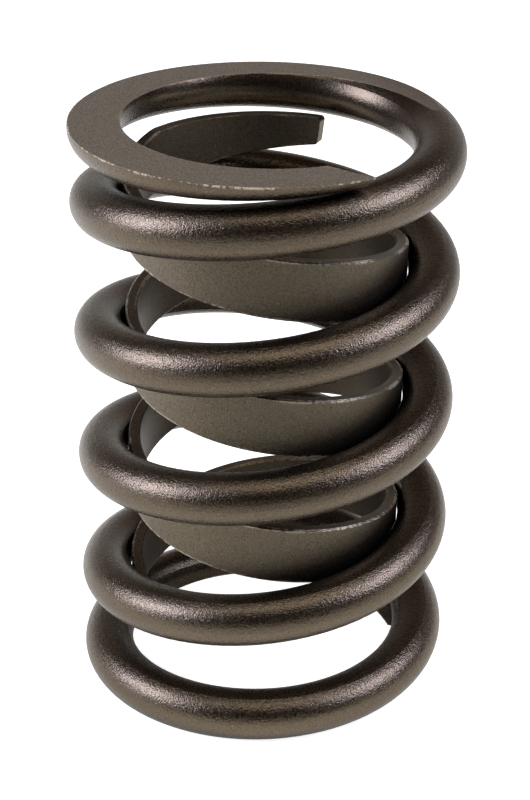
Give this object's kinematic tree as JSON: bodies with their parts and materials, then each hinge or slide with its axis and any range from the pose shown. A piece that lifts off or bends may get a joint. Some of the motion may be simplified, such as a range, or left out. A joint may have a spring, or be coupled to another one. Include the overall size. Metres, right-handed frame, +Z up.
{
  "type": "engine valve spring",
  "caption": "Round-wire valve spring, closed and ground flat at both ends, with a flat ribbon damper wound the opposite way inside it to stop it ringing.",
  "frame": {"origin": "on the spring's axis, in the plane of the lower ground face, on which the spring stands", "axes": "+Z up along the axis from the lower ground face to the upper one; -Y towards the picture's viewer; +X to the viewer's right; the outer wire's upper tip ends in front, 30.5 degrees round from -Y towards +X"},
  "size_m": [0.037, 0.037, 0.0576],
  "materials": {
    "outer_spring": "satin",
    "flat_damper": "satin"
  },
  "bodies": {
    "root": {"outer_spring": "outer_spring", "flat_damper": "flat_damper"}
  },
  "joints": []
}
